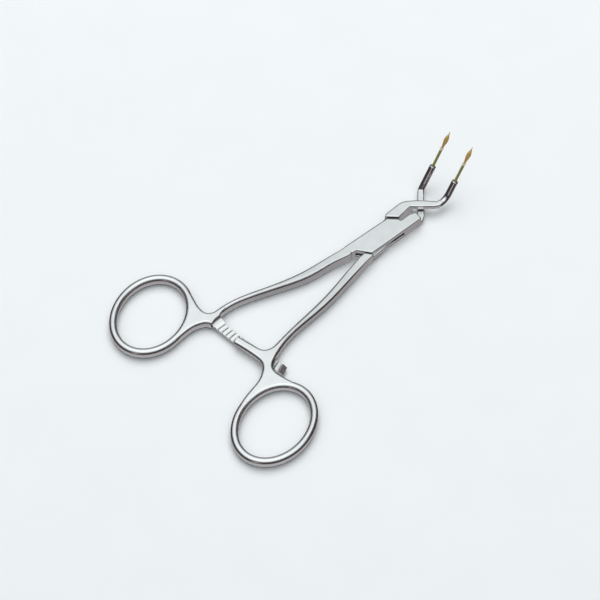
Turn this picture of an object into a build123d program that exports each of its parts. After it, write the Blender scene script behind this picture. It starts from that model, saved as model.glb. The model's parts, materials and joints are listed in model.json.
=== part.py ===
from build123d import *

import math
import os

# Ring-handled spreading forceps with a box lock, a ratchet and two gilt pins.
# Millimetres. The origin is on the pivot axis, level with the underside of the box.
# +X runs towards the pins, +Y towards the left ring, +Z up through the lock.
# The box half carries the left ring and stays still; the tongue half turns about the pivot.
# The two halves are forged apart and aren't mirror images, so each has its own outline.

# Heights
BOX_THICKNESS = 5.0
HANDLE_THICKNESS = 3.7
MID_HEIGHT = BOX_THICKNESS / 2
HANDLE_TOP = MID_HEIGHT + HANDLE_THICKNESS / 2
HANDLE_BOTTOM = MID_HEIGHT - HANDLE_THICKNESS / 2

# Box lock: cheeks below and above, tongue between them, rivet through all three
LOWER_CHEEK = 1.3
TONGUE_THICKNESS = 1.8
TONGUE_CLEARANCE = 0.05
SLOT_BOTTOM = LOWER_CHEEK
SLOT_TOP = LOWER_CHEEK + TONGUE_THICKNESS + 2 * TONGUE_CLEARANCE
REAR_SHOULDER_GAP = 0.65
FRONT_SHOULDER_GAP = 0.95
PIVOT_DIAMETER = 3.6
PIVOT_CLEARANCE = 0.05

# Jaw arms: the box half's arm passes under the tongue half's
LOWER_ARM_THICKNESS = 2.4
UPPER_ARM_THICKNESS = 1.95

# Stems that turn up from the arms, and the pins seated in them
STEM_DIAMETER = 2.4
STEM_RISE_ANGLE = 60
STEM_TOP_HEIGHT = 11.0
STEM_RIM = 0.25
LEFT_STEM_LEVEL = STEM_DIAMETER / 2
RIGHT_STEM_LEVEL = BOX_THICKNESS - STEM_DIAMETER / 2
PIN_DIAMETER = 0.9
PIN_SEAT_DEPTH = 5.0
PIN_EXPOSED = 15.4
PIN_COLLAR_AT = 8.0
PIN_COLLAR_DIAMETER = 1.15
PIN_NECK_DIAMETER = 0.8
PIN_HEAD_DIAMETER = 1.5
PIN_HEAD_LENGTH = 5.0
PIN_POINT_LENGTH = 1.6
PIN_POINT_DIAMETER = 0.25

# Finger rings: centre, half length, half width and tilt of the middle line of each band
RING_WIDTH = 2.6
RING_ROUNDING = 1.2
LEFT_RING = ((-81.5, 31.1), 15.95, 12.75, 21.0)
RIGHT_RING = ((-79.3, -30.3), 15.9, 12.4, 13.3)

# Ratchet: saw teeth about the pivot, up on the long rack and down on the short bar over it
BAR_GAP = 0.1
BARS_MEET_AT = 2.75
RACK_TOP = BARS_MEET_AT - BAR_GAP / 2
RACK_BOTTOM = 1.4
BAR_BOTTOM = BARS_MEET_AT + BAR_GAP / 2
RACK_WIDTH = 3.5
TOOTH_DEPTH = 0.55
TOOTH_PITCH = 1.8
TOOTH_SKEW = 8
RATCHET_RADIUS = 66.5
NOTCH_REACH = 4.2
TOOTH_STEP = math.degrees(TOOTH_PITCH / RATCHET_RADIUS)
RACK_TEETH = 16
RACK_FIRST_TOOTH = 169.4
RACK_LAST_RIDGE = RACK_FIRST_TOOTH + RACK_TEETH * TOOTH_STEP
RACK_END_SLOPE = 1.8
RACK_END_DROP = 0.9
PAST_END = 1.2
BAR_TEETH = 8
BAR_FIRST_TOOTH = RACK_FIRST_TOOTH + 5 * TOOTH_STEP

# Middle line of the rack: radius and angle from the pivot at its root, middle and end
RACK_ROOT = (68.2, 168.5)
RACK_MIDDLE = (65.4, 181.3)
RACK_END = (64.85, RACK_LAST_RIDGE + math.degrees(RACK_END_SLOPE / RATCHET_RADIUS))

# Ramp where the rack leaves the left neck: distances from the centre line, then its two sides
RAMP_FOOT = (12.3, RACK_TOP)
RAMP_MIDDLE = (13.5, 3.0)
RAMP_TOP = (14.2, HANDLE_TOP)
RAMP_BACK = 15.2
RAMP_OUTER_X = -68.7
RAMP_INNER_X = -64.4

# Web that eases the rack's inner side into the ramp, seen from above
ROOT_WEB = [(-66.6, 9.2), (-65.0, 9.2), (-64.7, 10.6), (RAMP_INNER_X, RAMP_FOOT[0]), (-66.6, RAMP_FOOT[0])]

# Room under the tongue half's neck for the rack: inner and outer radius, and the sector it spans
RELIEF_RADII = (62.2, 69.6)
RELIEF_SECTOR = [(0, 0), (-80, 30), (-80, -28)]

# Shank stations: distance along the centre line, side offset, width, thickness, corner rounding
LEFT_SHANK = [
    (-64.5, 15.65, 2.10, 3.70, 0.95),
    (-60.5, 15.45, 1.95, 3.70, 0.90),
    (-56.7, 14.85, 1.85, 3.70, 0.85),
    (-48.7, 12.30, 2.00, 3.80, 0.90),
    (-40.8, 9.35, 2.35, 4.00, 1.00),
    (-32.8, 6.65, 3.00, 4.25, 0.95),
    (-24.8, 5.05, 3.20, 4.55, 0.75),
    (-17.0, 3.75, 3.35, 4.85, 0.45),
    (-12.5, 3.05, 3.60, 5.00, 0.20),
]
RIGHT_SHANK = [
    (-61.6, -9.90, 3.50, 3.70, 1.05),
    (-58.0, -9.15, 2.60, 3.70, 1.00),
    (-54.7, -8.50, 2.15, 3.70, 0.95),
    (-46.8, -7.60, 2.05, 3.80, 0.95),
    (-38.8, -7.20, 2.50, 4.00, 1.00),
    (-30.8, -6.50, 2.80, 4.25, 0.90),
    (-22.8, -5.25, 3.05, 4.55, 0.75),
    (-14.9, -3.97, 3.10, 4.85, 0.45),
    (-11.4, -3.45, 3.10, 5.00, 0.20),
]

# Box seen from above, with the root of the lower jaw arm at its front right corner
BOX_INNER = (-12.6, 1.3)
CROTCH = (-10.6, 0.9)
CHEEK_REAR_RIGHT = (-7.3, -3.65)
CHEEK_SIDE_RIGHT = (16.2, -4.8)
ARM_ROOT = [(16.6, -1.7), (14.3, -0.75), (10.05, -0.55)]
CHEEK_FRONT_RIGHT = (9.75, 0.6)
CHEEK_FRONT_LEFT = (6.9, 3.45)
CHEEK_SIDE_LEFT = (-12.6, 4.85)

# Slot through the box seen from above; it runs out past both sides of the box
SLOT = [
    (8.3, -8.0), (8.3, -4.4), (10.8, -0.8), (12.0, 8.0),
    (-7.4, 8.0), (-7.4, 4.5), (-11.0, 0.9), (-12.0, -8.0),
]

# Tongue seen from above: its right side from the rear forwards, its left side back again
TONGUE_RIGHT = [(-7.5, -4.5), (-3.0, -4.4), (1.0, -4.0), (4.0, -3.2), (7.4, -1.9), (10.5, 0.95)]
TONGUE_LEFT = [(7.6, 4.6), (3.0, 4.35), (-1.0, 3.9), (-4.0, 3.1), (-7.2, 1.6), (-9.3, -1.9)]

# Full-height blocks of the tongue half, behind and in front of the tongue
REAR_BLOCK_BACK = [(-12.5, -1.95), (-12.5, -5.0)]
REAR_BLOCK_OUTER_Y = -4.6
REAR_BLOCK_INNER_Y = -1.9
JAW_INNER_Y = 1.0
JAW_OUTER_Y = 4.6
JAW_INNER = [(16.9, 1.6), (17.5, 1.05), (19.3, 2.8)]
JAW_OUTER = [(17.1, 4.45), (15.7, 5.0), (14.6, 5.15), (8.2, 5.1)]

# Jaw arms seen from above
UPPER_ARM = [
    (16.9, 1.6), (20.9, -2.1), (23.5, -4.4), (25.0, -5.3), (26.8, -5.5),
    (26.8, -3.6), (25.5, -3.55), (22.7, -0.35), (20.1, 2.2), (17.1, 4.45),
]
LOWER_ARM = [
    (14.5, -4.75), (17.4, -4.7), (19.2, -3.7), (27.15, 4.75),
    (25.7, 6.3), (17.9, -1.3), (16.6, -1.7),
]

# Stems: elbow in plan, heading of the arm there, length of the run-in and bend radius
LEFT_STEM = ((26.85, 5.85), 45, 1.3, 1.3)
RIGHT_STEM = ((29.3, -4.5), 0, 3.5, 4.0)

# Necks between rings, shanks and ratchet seen from above
NECK_ROUNDING = 0.9
STRAIGHT_POINTS = 3
LEFT_NECK_OUTER = [
    (-61.0, 16.2), (-63.0, 16.45), (-65.2, 16.85), (-66.9, 17.9), (-67.6, 20.2),
    (-67.3, 22.8), (-66.5, 25.6), (-65.6, 29.0), (-65.4, 32.5),
]
LEFT_NECK_RING_SIDE = [(-68.0, 33.5), (-85.0, 19.5)]
LEFT_NECK_INNER = [
    (-85.0, 17.15), (-80.0, 16.95), (-77.0, 17.05), (-74.0, 16.8),
    (-71.6, 16.0), (-69.95, 14.9), (-69.2, 13.5),
]
LEFT_NECK_RACK_SIDE = [(-66.0, 14.3), (-62.5, 14.9), (-61.0, 15.0)]
RIGHT_NECK_OUTER = [
    (-63.1, -27.5), (-64.1, -23.0), (-65.2, -19.0), (-65.6, -16.2), (-65.0, -13.9),
    (-63.2, -12.5), (-61.0, -11.5), (-59.0, -10.6), (-57.2, -9.95),
]
RIGHT_NECK_SHANK_SIDE = [
    (-57.2, -8.1), (-59.0, -8.0), (-61.4, -7.6), (-63.0, -6.3),
    (-63.8, -3.9), (-64.7, 0.0), (-65.4, 3.15),
]
RIGHT_NECK_INNER = [
    (-68.4, 2.35), (-67.65, -0.8), (-66.9, -5.0), (-66.55, -8.0), (-66.75, -10.1), (-67.8, -11.8),
    (-69.7, -13.3), (-72.3, -14.6), (-75.2, -15.3), (-79.0, -16.05), (-83.5, -17.55),
]
RIGHT_NECK_RING_SIDE = [(-83.5, -19.5), (-66.0, -29.0)]


def flat(points):
    """Face bounded by straight lines through the points."""
    return make_face(Polyline(*points, close=True))


def prism(face, low, high):
    """Solid of a plan face between two heights."""
    return Pos(0, 0, low) * extrude(face, high - low)


def polar(radius, angle):
    """Plan point at a radius from the pivot and an angle from +X."""
    return Vector(radius, 0, 0).rotate(Axis.Z, angle)


def beside(start, end, distance):
    """The two ends of a plan line after it moves sideways, to the right of its direction."""
    length = math.dist(start, end)
    side = ((end[1] - start[1]) / length, (start[0] - end[0]) / length)
    return [(x + side[0] * distance, y + side[1] * distance) for x, y in (start, end)]


def along(line, y):
    """The plan point of a line, or of its extension, at a given side offset."""
    (start_x, start_y), (end_x, end_y) = line
    return (start_x + (end_x - start_x) * (y - start_y) / (end_y - start_y), y)


def ring(centre, half_length, half_width, tilt):
    """Finger ring: an elliptical band with rounded edges."""
    half_band = RING_WIDTH / 2
    outer = Ellipse(half_length + half_band, half_width + half_band)
    inner = Ellipse(half_length - half_band, half_width - half_band)
    band = extrude(outer - inner, HANDLE_THICKNESS)
    band = fillet(band.edges(), RING_ROUNDING)
    return Pos(*centre, HANDLE_BOTTOM) * Rot(0, 0, tilt) * band


def ring_core(centre, half_length, half_width, tilt):
    """Everything inside the middle line of a ring, which trims the neck to the ring's crest."""
    core = extrude(Ellipse(half_length, half_width), BOX_THICKNESS)
    return Pos(*centre, 0) * Rot(0, 0, tilt) * core


def neck(*sides):
    """Plate between ring and shank: curved sides, joined by straight ones, rounded top and bottom."""
    edges = []
    for side, following in zip(sides, sides[1:] + sides[:1]):
        edges.append(Spline(*side) if len(side) > STRAIGHT_POINTS else Polyline(*side))
        if side[-1] != following[0]:
            edges.append(Line(side[-1], following[0]))
    plate = prism(make_face(edges), HANDLE_BOTTOM, HANDLE_TOP)
    return fillet(plate.edges().filter_by(GeomType.BSPLINE), NECK_ROUNDING)


def shank(stations):
    """Handle bar lofted through rounded sections that stand square to its centre line."""
    sections = []
    last = len(stations) - 1
    for place, (x, y, width, thickness, rounding) in enumerate(stations):
        before = stations[max(place - 1, 0)]
        after = stations[min(place + 1, last)]
        run = Vector(after[0] - before[0], after[1] - before[1], 0).normalized()
        across = Vector(-run.Y, run.X, 0)
        plane = Plane(origin=(x, y, MID_HEIGHT), x_dir=across, z_dir=run)
        sections.append(plane * RectangleRounded(width, thickness, rounding))
    return loft(sections)


def across(angle, radius):
    """Plan point on the line of a tooth, which is a little askew from radial."""
    reach = (radius - RATCHET_RADIUS) / math.cos(math.radians(TOOTH_SKEW))
    return polar(RATCHET_RADIUS, angle) + polar(reach, angle + TOOTH_SKEW)


def notch(angle, level, length, steep_at, depth):
    """Three-sided cutter across a ratchet bar, deepest at one point."""
    profile = Plane(
        origin=across(angle, RATCHET_RADIUS - NOTCH_REACH) + Vector(0, 0, level),
        x_dir=polar(1, angle + TOOTH_SKEW + 90),
        z_dir=polar(1, angle + TOOTH_SKEW),
    )
    return extrude(profile * flat([(0, 0), (length, 0), (steep_at, depth)]), 2 * NOTCH_REACH)


def notches(first, count, level, steep_at, depth):
    """Row of equal notches, one tooth pitch apart."""
    return [
        notch(first + place * TOOTH_STEP, level, TOOTH_PITCH, steep_at, depth)
        for place in range(count)
    ]


def rack_outline():
    """Curved bar seen from above, whose end runs along the teeth."""
    edges = []
    for side in (-RACK_WIDTH / 2, RACK_WIDTH / 2):
        edge = [polar(radius + side, angle) for radius, angle in (RACK_ROOT, RACK_MIDDLE)]
        edges.append(edge + [across(RACK_END[1], RACK_END[0] + side)])
    inner, outer = edges
    return make_face(
        [
            ThreePointArc(*inner),
            Line(inner[-1], outer[-1]),
            ThreePointArc(*reversed(outer)),
            Line(outer[0], inner[0]),
        ]
    )


def rack_ramp():
    """Step down from the full thickness of the left neck to the rack."""
    profile = make_face(
        [
            Polyline((RAMP_BACK, RACK_BOTTOM), (RAMP_BACK, HANDLE_TOP), RAMP_TOP),
            ThreePointArc(RAMP_TOP, RAMP_MIDDLE, RAMP_FOOT),
            Polyline(RAMP_FOOT, (RAMP_FOOT[0], RACK_BOTTOM), (RAMP_BACK, RACK_BOTTOM)),
        ]
    )
    return Pos(RAMP_OUTER_X, 0, 0) * extrude(Plane.YZ * profile, RAMP_INNER_X - RAMP_OUTER_X)


def rack():
    """Long ratchet bar of the box half: teeth up, a sloped end, under the other half's bar."""
    bar = prism(rack_outline(), RACK_BOTTOM, RACK_TOP) + rack_ramp()
    bar = bar + prism(flat(ROOT_WEB), RACK_BOTTOM, RACK_TOP)
    slope_length = PAST_END * RACK_END_SLOPE
    slope = notch(RACK_LAST_RIDGE, RACK_TOP, slope_length, slope_length, -PAST_END * RACK_END_DROP)
    return bar - notches(RACK_FIRST_TOOTH, RACK_TEETH, RACK_TOP, TOOTH_PITCH, -TOOTH_DEPTH) - slope


def rack_relief():
    """Room below the tongue half's bar and neck for the rack to pass."""
    inner, outer = RELIEF_RADII
    return prism((Circle(outer) - Circle(inner)) & flat(RELIEF_SECTOR), -1, BAR_BOTTOM)


def stem_top(elbow, level):
    """Place of a stem's end face, square to its axis."""
    rise = math.radians(STEM_RISE_ANGLE)
    reach = (STEM_TOP_HEIGHT - level) / math.tan(rise)
    axis = Vector(math.cos(rise), 0, math.sin(rise))
    end = (elbow[0] + reach, elbow[1], STEM_TOP_HEIGHT)
    return Location(Plane(origin=end, x_dir=(0, 1, 0), z_dir=axis))


def stem(elbow, heading, run_in, bend, level):
    """Round stem that turns up from the end of a jaw arm, and the bore for its pin."""
    top = stem_top(elbow, level)
    corner = Vector(*elbow, level)
    path = FilletPolyline(corner - polar(run_in, heading), corner, top.position, radius=bend)
    rod = sweep(Plane(origin=path @ 0, z_dir=path % 0) * Circle(STEM_DIAMETER / 2), path=path)
    rod = fillet(rod.edges().sort_by(Axis.Z)[-1], STEM_RIM)
    return rod, extrude(top * Circle(PIN_DIAMETER / 2), -PIN_SEAT_DEPTH)


def box_body():
    """Flat-sided box with the slot for the tongue."""
    outline = flat(
        [BOX_INNER, CROTCH, CHEEK_REAR_RIGHT, CHEEK_SIDE_RIGHT, *ARM_ROOT,
         CHEEK_FRONT_RIGHT, CHEEK_FRONT_LEFT, CHEEK_SIDE_LEFT]
    )
    return prism(outline, 0, BOX_THICKNESS) - prism(flat(SLOT), SLOT_BOTTOM, SLOT_TOP)


def box_half():
    """Left ring, shank, rack, box and lower jaw arm, forged as one."""
    plate = neck(LEFT_NECK_OUTER, LEFT_NECK_RING_SIDE, LEFT_NECK_INNER, LEFT_NECK_RACK_SIDE)
    rod, pin_bore = stem(*LEFT_STEM, LEFT_STEM_LEVEL)
    body = ring(*LEFT_RING) + (plate - ring_core(*LEFT_RING))
    body = body + shank(LEFT_SHANK) + rack()
    body = body + box_body() + prism(flat(LOWER_ARM), 0, LOWER_ARM_THICKNESS) + rod
    return body - pin_bore - Cylinder(PIVOT_DIAMETER / 2, 4 * BOX_THICKNESS)


def tongue():
    """Thin middle layer that turns inside the box."""
    face = make_face(
        [
            Spline(*TONGUE_RIGHT),
            Line(TONGUE_RIGHT[-1], TONGUE_LEFT[0]),
            Spline(*TONGUE_LEFT),
            Line(TONGUE_LEFT[-1], TONGUE_RIGHT[0]),
        ]
    )
    return prism(face, SLOT_BOTTOM + TONGUE_CLEARANCE, SLOT_TOP - TONGUE_CLEARANCE)


def rear_block():
    """Full-height root of the tongue, whose shoulder faces the rear edge of the cheeks."""
    shoulder = beside(CROTCH, CHEEK_REAR_RIGHT, REAR_SHOULDER_GAP)
    corners = [along(shoulder, REAR_BLOCK_OUTER_Y), along(shoulder, REAR_BLOCK_INNER_Y)]
    return prism(flat(REAR_BLOCK_BACK + corners), 0, BOX_THICKNESS)


def jaw():
    """Full-height jaw in front of the tongue, whose shoulder faces the front edge of the cheeks."""
    shoulder = beside(CHEEK_FRONT_RIGHT, CHEEK_FRONT_LEFT, FRONT_SHOULDER_GAP)
    corners = [along(shoulder, JAW_OUTER_Y), along(shoulder, JAW_INNER_Y)]
    return prism(flat(corners + JAW_INNER + JAW_OUTER), 0, BOX_THICKNESS)


def tongue_half():
    """Right ring, shank, short ratchet bar, tongue and upper jaw arm, forged as one."""
    plate = neck(RIGHT_NECK_OUTER, RIGHT_NECK_SHANK_SIDE, RIGHT_NECK_INNER, RIGHT_NECK_RING_SIDE)
    rod, pin_bore = stem(*RIGHT_STEM, RIGHT_STEM_LEVEL)
    body = ring(*RIGHT_RING) + (plate - ring_core(*RIGHT_RING))
    body = body + shank(RIGHT_SHANK) - rack_relief()
    body = body - notches(BAR_FIRST_TOOTH, BAR_TEETH, BAR_BOTTOM, 0, TOOTH_DEPTH)
    body = body + rear_block() + tongue() + jaw()
    body = body + prism(flat(UPPER_ARM), BOX_THICKNESS - UPPER_ARM_THICKNESS, BOX_THICKNESS) + rod
    return body - pin_bore - Cylinder(PIVOT_DIAMETER / 2 + PIVOT_CLEARANCE, 4 * BOX_THICKNESS)


def pivot_pin():
    """Rivet through both cheeks and the tongue, ground flush."""
    return Pos(0, 0, MID_HEIGHT) * Cylinder(PIVOT_DIAMETER / 2, BOX_THICKNESS)


def tip_pin(elbow, level):
    """Gilt pin: straight rod, collar, neck and a slim pointed head, turned about its own axis."""
    rod = PIN_DIAMETER / 2
    collar = PIN_COLLAR_DIAMETER / 2
    slim = PIN_NECK_DIAMETER / 2
    head = PIN_HEAD_DIAMETER / 2
    head_start = PIN_EXPOSED - PIN_POINT_LENGTH - PIN_HEAD_LENGTH
    flank = [
        (slim, head_start),
        (head, head_start + 0.4 * PIN_HEAD_LENGTH),
        (0.6 * head, head_start + 0.85 * PIN_HEAD_LENGTH),
        (PIN_POINT_DIAMETER / 2, PIN_EXPOSED),
    ]
    profile = [
        Polyline(
            (0, PIN_EXPOSED),
            (0, -PIN_SEAT_DEPTH),
            (rod, -PIN_SEAT_DEPTH),
            (rod, PIN_COLLAR_AT - collar),
            (collar, PIN_COLLAR_AT),
            (slim, PIN_COLLAR_AT + collar),
            flank[0],
        ),
        Spline(*flank),
        Line(flank[-1], (0, PIN_EXPOSED)),
    ]
    turned = revolve(Plane.XZ * make_face(profile), Axis.Z)
    return stem_top(elbow, level) * turned


def main():
    os.makedirs("parts", exist_ok=True)
    parts = {
        "box_half": box_half(),
        "tongue_half": tongue_half(),
        "pivot_pin": pivot_pin(),
        "left_tip": tip_pin(LEFT_STEM[0], LEFT_STEM_LEVEL),
        "right_tip": tip_pin(RIGHT_STEM[0], RIGHT_STEM_LEVEL),
    }
    for name, part in parts.items():
        export_step(part, f"parts/{name}.step")


main()
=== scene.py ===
import json
import math

import bpy
from mathutils import Matrix, Vector

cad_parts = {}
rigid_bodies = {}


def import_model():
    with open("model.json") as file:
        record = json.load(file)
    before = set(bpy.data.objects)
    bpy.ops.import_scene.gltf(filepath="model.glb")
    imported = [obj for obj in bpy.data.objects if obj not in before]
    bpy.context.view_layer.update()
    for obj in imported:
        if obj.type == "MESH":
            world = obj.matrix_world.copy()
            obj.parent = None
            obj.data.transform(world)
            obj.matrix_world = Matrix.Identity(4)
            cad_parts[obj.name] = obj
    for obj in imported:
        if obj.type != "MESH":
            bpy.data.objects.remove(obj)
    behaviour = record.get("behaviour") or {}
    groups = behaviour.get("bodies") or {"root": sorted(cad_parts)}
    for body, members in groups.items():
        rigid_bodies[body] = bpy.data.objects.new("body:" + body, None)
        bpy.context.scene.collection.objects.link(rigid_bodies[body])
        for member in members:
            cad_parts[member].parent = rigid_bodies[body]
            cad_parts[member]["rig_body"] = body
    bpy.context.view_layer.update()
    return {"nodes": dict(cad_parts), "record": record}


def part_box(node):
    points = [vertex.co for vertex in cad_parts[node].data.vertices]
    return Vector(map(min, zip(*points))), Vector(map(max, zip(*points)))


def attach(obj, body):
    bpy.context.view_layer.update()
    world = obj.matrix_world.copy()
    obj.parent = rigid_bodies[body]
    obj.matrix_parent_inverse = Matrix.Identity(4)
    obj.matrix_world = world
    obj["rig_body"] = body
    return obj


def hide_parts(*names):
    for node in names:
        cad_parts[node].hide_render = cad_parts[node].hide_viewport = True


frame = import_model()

# Looks of the ring-handled spreading forceps: satin steel, two gilt pins, a pale studio floor.
# Metres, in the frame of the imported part: +X towards the pins, +Z up.
# Shades are pairs of a place on a colour ramp and a colour; grains are a noise's scale and detail.

MM = 0.001
WHITE = (1.0, 1.0, 1.0)

# Camera at the photograph's viewing angle
CAMERA_AT = (-0.3013, -0.2811, 0.5951)
LOOK_ALONG = (0.3714, 0.3983, -0.8387)
LENS_MM = 120
SENSOR_MM = 36

# Surroundings that the steel mirrors: colour against the sine of the height above the horizon
SKY_STEPS = [
    (-1.00, (0.56, 0.57, 0.58)),
    (-0.84, (0.44, 0.42, 0.43)),
    (-0.70, (0.20, 0.18, 0.185)),
    (-0.55, (0.055, 0.045, 0.047)),
    (0.34, (0.040, 0.035, 0.036)),
    (0.52, (0.30, 0.31, 0.32)),
    (0.66, (0.60, 0.63, 0.64)),
    (0.80, (0.85, 0.90, 0.91)),
    (0.90, (0.95, 1.00, 1.01)),
    (1.00, (1.20, 1.24, 1.26)),
]
# Dark screen at the right, slim strip light at the left and dim wall behind: direction, radius in
# degrees within which the colour is full, radius at which it has faded away, and colour
SCREEN = ((0.68, -0.36, 0.64), 11, 17, (0.050, 0.022, 0.022))
STRIP = ((-0.913, -0.398, -0.099), 6, 13, (0.74, 0.65, 0.66))
REAR_WALL = ((0.371, 0.398, 0.02), 12, 36, (0.30, 0.31, 0.32))
# What the camera itself sees past the floor
BACKDROP = (0.85, 0.87, 0.88)

# Pale floor, faintly mottled
FLOOR_SIZE = 6.0
FLOOR_COLOUR = (0.93, 0.945, 0.955)
FLOOR_DARKER = tuple(0.985 * part for part in FLOOR_COLOUR)
FLOOR_SHADES = [(0.3, FLOOR_DARKER), (0.7, FLOOR_COLOUR)]
FLOOR_GRAIN = (40.0, 2.0)
FLOOR_ROUGHNESS = 0.9
FLOOR_SPECULAR = 0.1

# Large lamp that points at the origin
KEY_FROM = (0.35, 0.45, 1.30)
KEY_SIZE = 1.1
KEY_WATTS = 9.0

# Steel at distances in mm along the instrument: painted light and shade, rounding of its edges in mm
PAINTED_LIGHT_ALONG = [(-75, 0.93), (-62, 0.90), (-47, 0.72), (-22, 0.74), (-5, 0.82), (14, 0.80), (24, 0.88)]
EDGES_ALONG = [(-59, 0.10), (-56, 0.30), (-20, 0.42), (-12, 0.80), (24, 0.80)]
# Edges are sharp within the first radius about the pivot, where the rivet is ground flush, and
# rounded past the second
RIVET_REACH = (2.3 * MM, 2.7 * MM)
CLOUD_GRAIN = (240.0, 3.0)
CLOUD_SHADES = [(0.30, (0.93, 0.93, 0.93)), (0.70, WHITE)]
STEEL_GRAIN = (7000.0, 4.0)
STEEL_GRAIN_STRETCH = (0.35, 1.0, 1.0)
STEEL_RELIEF = 0.15
STEEL_ROUGHNESS = (0.17, 0.29)
# The stems are polished from this height up
STEM_FROM = 5.2 * MM
STEM_ROUGHNESS = 0.09
# Rays that measure how open a place is, or round an edge
NODE_SAMPLES = 8
# Painted shade in dark places: reach within which their openness is measured, and shade against it
GAP_REACH = 2.4 * MM
GAP_PAINTED_SHADES = [(0.12, (0.04, 0.035, 0.035)), (0.40, WHITE)]
TOOTH_REACH = 1.1 * MM
TOOTH_PAINTED_SHADES = [(0.52, (0.34, 0.33, 0.33)), (0.74, (0.05, 0.045, 0.045)), (0.93, WHITE)]
# The painted shade between the teeth fades out between these two places along the instrument
RATCHET_BEFORE = (-61 * MM, -59 * MM)

# Gilding: colour from 1 mm below the collar to 1 mm above it, and its uneven patches
GILT_ROD = (0.42, 0.39, 0.12)
# The collar's near-white colour is a painted highlight
PAINTED_COLLAR_HIGHLIGHT = (1.00, 0.98, 0.74)
GILT_HEAD = (0.80, 0.52, 0.17)
GILT_SHADES = [(0.22, GILT_ROD), (0.32, PAINTED_COLLAR_HIGHLIGHT), (0.66, PAINTED_COLLAR_HIGHLIGHT), (0.80, GILT_HEAD)]
PATCH_SHADES = [(0.35, (0.82, 0.80, 0.72)), (0.65, WHITE)]
GILT_GRAIN = (2500.0, 3.0)
GILT_RELIEF = 0.2
GILT_ROUGHNESS = (0.26, 0.44)
GILT_METALLIC = 0.30

# Height of the grain's relief on both metals
RELIEF_HEIGHT = 0.01 * MM

# Pins: distance along the pin from the stem's end face, and radius, both in mm
PIN_PROFILE = [
    (-5.0, 0.45), (0.00, 0.45), (0.02, 0.52), (0.20, 0.52), (7.35, 0.52), (7.50, 0.56),
    (7.75, 0.64), (8.05, 0.66), (8.30, 0.56), (8.45, 0.42), (8.80, 0.40), (9.60, 0.55),
    (10.7, 0.78), (11.9, 0.84), (12.9, 0.72), (13.6, 0.44), (14.1, 0.20), (15.2, 0.12), (15.4, 0.06),
]
PIN_SIDES = 24
PIN_SMOOTHING = 2
PIN_RISE = math.radians(60)
PIN_EXPOSED = PIN_PROFILE[-1][0] * MM
COLLAR_AT = 7.9 * MM
POINT_RADIUS = 0.125 * MM


def material(name):
    """New material, its node tree and its Principled shader."""
    made = bpy.data.materials.new(name)
    made.use_nodes = True
    tree = made.node_tree
    return made, tree, tree.nodes["Principled BSDF"]


def feed(tree, target, inputs):
    """Set a node's inputs, or link them where another node's output is given."""
    for name, value in inputs.items():
        if isinstance(value, bpy.types.NodeSocket):
            tree.links.new(value, target.inputs[name])
        else:
            target.inputs[name].default_value = value


def node(tree, kind, inputs=None, **settings):
    """New node with its settings and inputs."""
    made = tree.nodes.new(kind)
    for name, value in settings.items():
        setattr(made, name, value)
    feed(tree, made, inputs or {})
    return made


def position(tree):
    """Place on the piece as a vector."""
    return node(tree, "ShaderNodeTexCoord").outputs["Object"]


def components(tree, vector):
    """X, Y and Z of a vector."""
    return node(tree, "ShaderNodeSeparateXYZ", {"Vector": vector}).outputs


def ramp(tree, value, stops):
    """Colour ramp over a value, with its stops at the given places."""
    made = node(tree, "ShaderNodeValToRGB", {"Fac": value})
    elements = made.color_ramp.elements
    while len(elements) < len(stops):
        elements.new(1.0)
    for element, (place, colour) in zip(elements, stops):
        element.position = place
        element.color = (*colour, 1.0)
    return made.outputs["Color"]


def noise(tree, coordinates, scale, detail):
    """Value of a noise texture."""
    inputs = {"Vector": coordinates, "Scale": scale, "Detail": detail}
    return node(tree, "ShaderNodeTexNoise", inputs).outputs["Fac"]


def rescale(tree, value, from_low, from_high, to_low=0.0, to_high=1.0):
    """A value brought from one range to another and held within it."""
    limits = {"From Min": from_low, "From Max": from_high, "To Min": to_low, "To Max": to_high}
    return node(tree, "ShaderNodeMapRange", {"Value": value, **limits}).outputs["Result"]


def product(tree, first, second):
    """Two colours or vectors multiplied."""
    made = node(tree, "ShaderNodeVectorMath", {0: first, 1: second}, operation="MULTIPLY")
    return made.outputs["Vector"]


def blended(tree, share, first, second):
    """A value that goes from the first to the second as the share goes from 0 to 1."""
    inputs = {0: share, 2: first, 3: second}
    return node(tree, "ShaderNodeMix", inputs, data_type="FLOAT").outputs[0]


def tinted(tree, share, first, second):
    """A colour that goes from the first to a constant second as the share goes from 0 to 1."""
    inputs = {0: share, 6: first, 7: (*second, 1.0)}
    return node(tree, "ShaderNodeMix", inputs, data_type="RGBA").outputs[2]


def along(tree, axes, values):
    """A value that changes along the instrument, given at distances in mm from the pivot."""
    rear, front = values[0][0], values[-1][0]
    stops = [((x - rear) / (front - rear), (value,) * 3) for x, value in values]
    return ramp(tree, rescale(tree, axes["X"], rear * MM, front * MM), stops)


def opened(tree, reach, shades):
    """Painted shade by how open a place is, as far as the reach."""
    made = node(tree, "ShaderNodeAmbientOcclusion", {"Distance": reach}, samples=NODE_SAMPLES)
    return ramp(tree, made.outputs["AO"], shades)


def rounded_edges(tree, place, axes):
    """Normal with the edges rounded a little, but not at the flush ground rivet."""
    level = product(tree, place, (1.0, 1.0, 0.0))
    distance = node(tree, "ShaderNodeVectorMath", {0: level}, operation="LENGTH").outputs["Value"]
    away = rescale(tree, distance, *RIVET_REACH, 0.0, MM)
    factors = {0: along(tree, axes, EDGES_ALONG), 1: away}
    radius = node(tree, "ShaderNodeMath", factors, operation="MULTIPLY").outputs["Value"]
    return node(tree, "ShaderNodeBevel", {"Radius": radius}, samples=NODE_SAMPLES).outputs["Normal"]


def relief(tree, height, strength, **under):
    """Normal of a fine relief, on top of another normal where one is given."""
    inputs = {"Height": height, "Strength": strength, "Distance": RELIEF_HEIGHT, **under}
    return node(tree, "ShaderNodeBump", inputs).outputs["Normal"]


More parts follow.
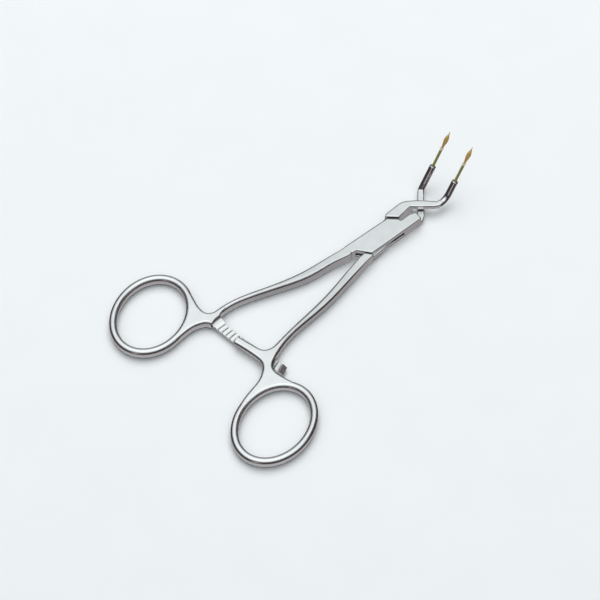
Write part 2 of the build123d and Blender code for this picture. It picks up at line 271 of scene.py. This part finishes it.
def painted_shade_in_hollows(tree, axes):
    """Painted shade deep in the gaps and, along the ratchet, between its teeth."""
    past_ratchet = rescale(tree, axes["X"], *RATCHET_BEFORE)
    teeth = tinted(tree, past_ratchet, opened(tree, TOOTH_REACH, TOOTH_PAINTED_SHADES), WHITE)
    return product(tree, opened(tree, GAP_REACH, GAP_PAINTED_SHADES), teeth)


def steel():
    """Satin stainless steel with a fine ground grain; polished stems; painted shade in the gaps."""
    made, tree, shader = material("satin_steel")
    place = position(tree)
    axes = components(tree, place)
    clouds = ramp(tree, noise(tree, place, *CLOUD_GRAIN), CLOUD_SHADES)
    # Painted light and shade along the instrument, times the steel's random cloudy tone
    finish = product(tree, along(tree, axes, PAINTED_LIGHT_ALONG), clouds)
    stretched = node(tree, "ShaderNodeMapping", {"Vector": place, "Scale": STEEL_GRAIN_STRETCH})
    grain = noise(tree, stretched.outputs["Vector"], *STEEL_GRAIN)
    satin = rescale(tree, grain, 0.0, 1.0, *STEEL_ROUGHNESS)
    on_stem = rescale(tree, axes["Z"], STEM_FROM - MM, STEM_FROM)
    # Base colour holds painted light and shade along the instrument and painted shade in the gaps and
    # teeth
    feed(tree, shader, {
        "Base Color": product(tree, finish, painted_shade_in_hollows(tree, axes)),
        "Metallic": 1.0,
        "Roughness": blended(tree, on_stem, satin, STEM_ROUGHNESS),
        "Normal": relief(tree, grain, STEEL_RELIEF, Normal=rounded_edges(tree, place, axes)),
    })
    return made


def gilt():
    """Dull gilding: olive rods, a pale painted highlight on the collars, more golden heads."""
    made, tree, shader = material("dull_gilt")
    place = position(tree)
    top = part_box("left_tip")[1].z
    collar = top - (PIN_EXPOSED - COLLAR_AT) * math.sin(PIN_RISE)
    height = rescale(tree, components(tree, place)["Z"], collar - MM, collar + MM)
    grain = noise(tree, place, *GILT_GRAIN)
    feed(tree, shader, {
        "Base Color": product(tree, ramp(tree, height, GILT_SHADES), ramp(tree, grain, PATCH_SHADES)),
        "Metallic": GILT_METALLIC,
        "Roughness": rescale(tree, grain, 0.0, 1.0, *GILT_ROUGHNESS),
        "Normal": relief(tree, grain, GILT_RELIEF),
    })
    return made


def placed(name, data):
    """New object with a mesh, a lamp or a camera, in the scene."""
    made = bpy.data.objects.new(name, data)
    bpy.context.scene.collection.objects.link(made)
    return made


def turned(name, profile, sides):
    """Mesh of a profile in mm turned about the Z axis, with a point at each end."""
    angles = [math.tau * i / sides for i in range(sides)]
    points = [(0, 0, profile[0][0])]
    for distance, radius in profile:
        points += [(radius * math.cos(angle), radius * math.sin(angle), distance) for angle in angles]
    points.append((0, 0, profile[-1][0]))
    last = 1 + (len(profile) - 1) * sides
    faces = []
    for i in range(sides):
        after = (i + 1) % sides
        faces.append((0, 1 + after, 1 + i))
        for low in range(1, last, sides):
            faces.append((low + i, low + after, low + sides + after, low + sides + i))
        faces.append((last + i, last + after, len(points) - 1))
    mesh = bpy.data.meshes.new(name)
    mesh.from_pydata([tuple(value * MM for value in point) for point in points], [], faces)
    mesh.shade_smooth()
    return mesh


def pin(node_name, finish):
    """Turned gilt pin in the place of a CAD pin: rod, ball collar, slim neck, leaf-shaped head."""
    low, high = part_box(node_name)
    axis = Vector((math.cos(PIN_RISE), 0, math.sin(PIN_RISE)))
    point = Vector((
        high.x - POINT_RADIUS * math.sin(PIN_RISE),
        (low.y + high.y) / 2,
        high.z - POINT_RADIUS * math.cos(PIN_RISE),
    ))
    name = node_name + "_gilt"
    piece = placed(name, turned(name, PIN_PROFILE, PIN_SIDES))
    turn = axis.to_track_quat("Z", "Y").to_matrix().to_4x4()
    piece.data.transform(Matrix.Translation(point - PIN_EXPOSED * axis) @ turn)
    piece.data.materials.append(finish)
    smooth = piece.modifiers.new("smooth", "SUBSURF")
    smooth.levels = smooth.render_levels = PIN_SMOOTHING
    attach(piece, frame["nodes"][node_name]["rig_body"])
    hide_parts(node_name)


def dress():
    """Give every CAD node its finish, and put the turned pins in."""
    finishes = {"steel": steel(), "gilt": gilt()}
    slots = {part["node"]: part["material_slot"] for part in frame["record"]["subparts"]}
    for name, part in frame["nodes"].items():
        part.material_slots[0].material = finishes[slots[name]]
    for name in ("left_tip", "right_tip"):
        pin(name, finishes["gilt"])


def floor():
    """Plain pale floor under the instrument."""
    half = FLOOR_SIZE / 2
    corners = [(-half, -half, 0), (half, -half, 0), (half, half, 0), (-half, half, 0)]
    mesh = bpy.data.meshes.new("floor")
    mesh.from_pydata(corners, [], [(0, 1, 2, 3)])
    made, tree, shader = material("pale_floor")
    feed(tree, shader, {
        "Base Color": ramp(tree, noise(tree, position(tree), *FLOOR_GRAIN), FLOOR_SHADES),
        "Roughness": FLOOR_ROUGHNESS,
        "Specular IOR Level": FLOOR_SPECULAR,
    })
    mesh.materials.append(made)
    plane = placed("floor", mesh)
    plane.visible_glossy = False


def around(tree, direction, colour, patch):
    """The surroundings' colour with a soft round patch of another colour in one direction."""
    centre, full, faded, patch_colour = patch
    inputs = {0: direction, 1: Vector(centre).normalized()}
    nearness = node(tree, "ShaderNodeVectorMath", inputs, operation="DOT_PRODUCT").outputs["Value"]
    share = rescale(tree, nearness, math.cos(math.radians(faded)), math.cos(math.radians(full)))
    return tinted(tree, share, colour, patch_colour)


def surroundings():
    """Bright above, dark at the horizon, grey below; the camera itself sees a plain backdrop."""
    world = bpy.data.worlds.new("studio")
    bpy.context.scene.world = world
    world.use_nodes = True
    tree = world.node_tree
    tree.nodes.clear()
    direction = node(tree, "ShaderNodeTexCoord").outputs["Generated"]
    stops = [((sine + 1) / 2, colour) for sine, colour in SKY_STEPS]
    colour = ramp(tree, rescale(tree, components(tree, direction)["Z"], -1.0, 1.0), stops)
    for patch in (SCREEN, STRIP, REAR_WALL):
        colour = around(tree, direction, colour, patch)
    mirrored = node(tree, "ShaderNodeBackground", {"Color": colour}).outputs["Background"]
    plain = node(tree, "ShaderNodeBackground", {"Color": (*BACKDROP, 1.0)}).outputs["Background"]
    by_camera = node(tree, "ShaderNodeLightPath").outputs["Is Camera Ray"]
    seen = node(tree, "ShaderNodeMixShader", {0: by_camera, 1: mirrored, 2: plain}).outputs["Shader"]
    node(tree, "ShaderNodeOutputWorld", {"Surface": seen})


def key_light():
    """Large soft light above, a little behind the instrument, for the floor's soft shadows."""
    lamp = bpy.data.lights.new("key", "AREA")
    lamp.size = KEY_SIZE
    lamp.energy = KEY_WATTS
    lit = placed("key", lamp)
    lit.location = KEY_FROM
    lit.rotation_euler = (-Vector(KEY_FROM)).to_track_quat("-Z", "Y").to_euler()
    lit.visible_glossy = False


def camera():
    """Long lens, level with the horizon, from the photograph's viewpoint."""
    forward = Vector(LOOK_ALONG).normalized()
    right = forward.cross(Vector((0, 0, 1))).normalized()
    up = right.cross(forward)
    turn = Matrix((right, up, -forward)).transposed().to_4x4()
    optics = bpy.data.cameras.new("camera")
    optics.sensor_width = SENSOR_MM
    optics.lens = LENS_MM
    eye = placed("camera", optics)
    eye.matrix_world = Matrix.Translation(CAMERA_AT) @ turn
    bpy.context.scene.camera = eye


bpy.context.scene.view_settings.view_transform = "Standard"
dress()
floor()
surroundings()
key_light()
camera()
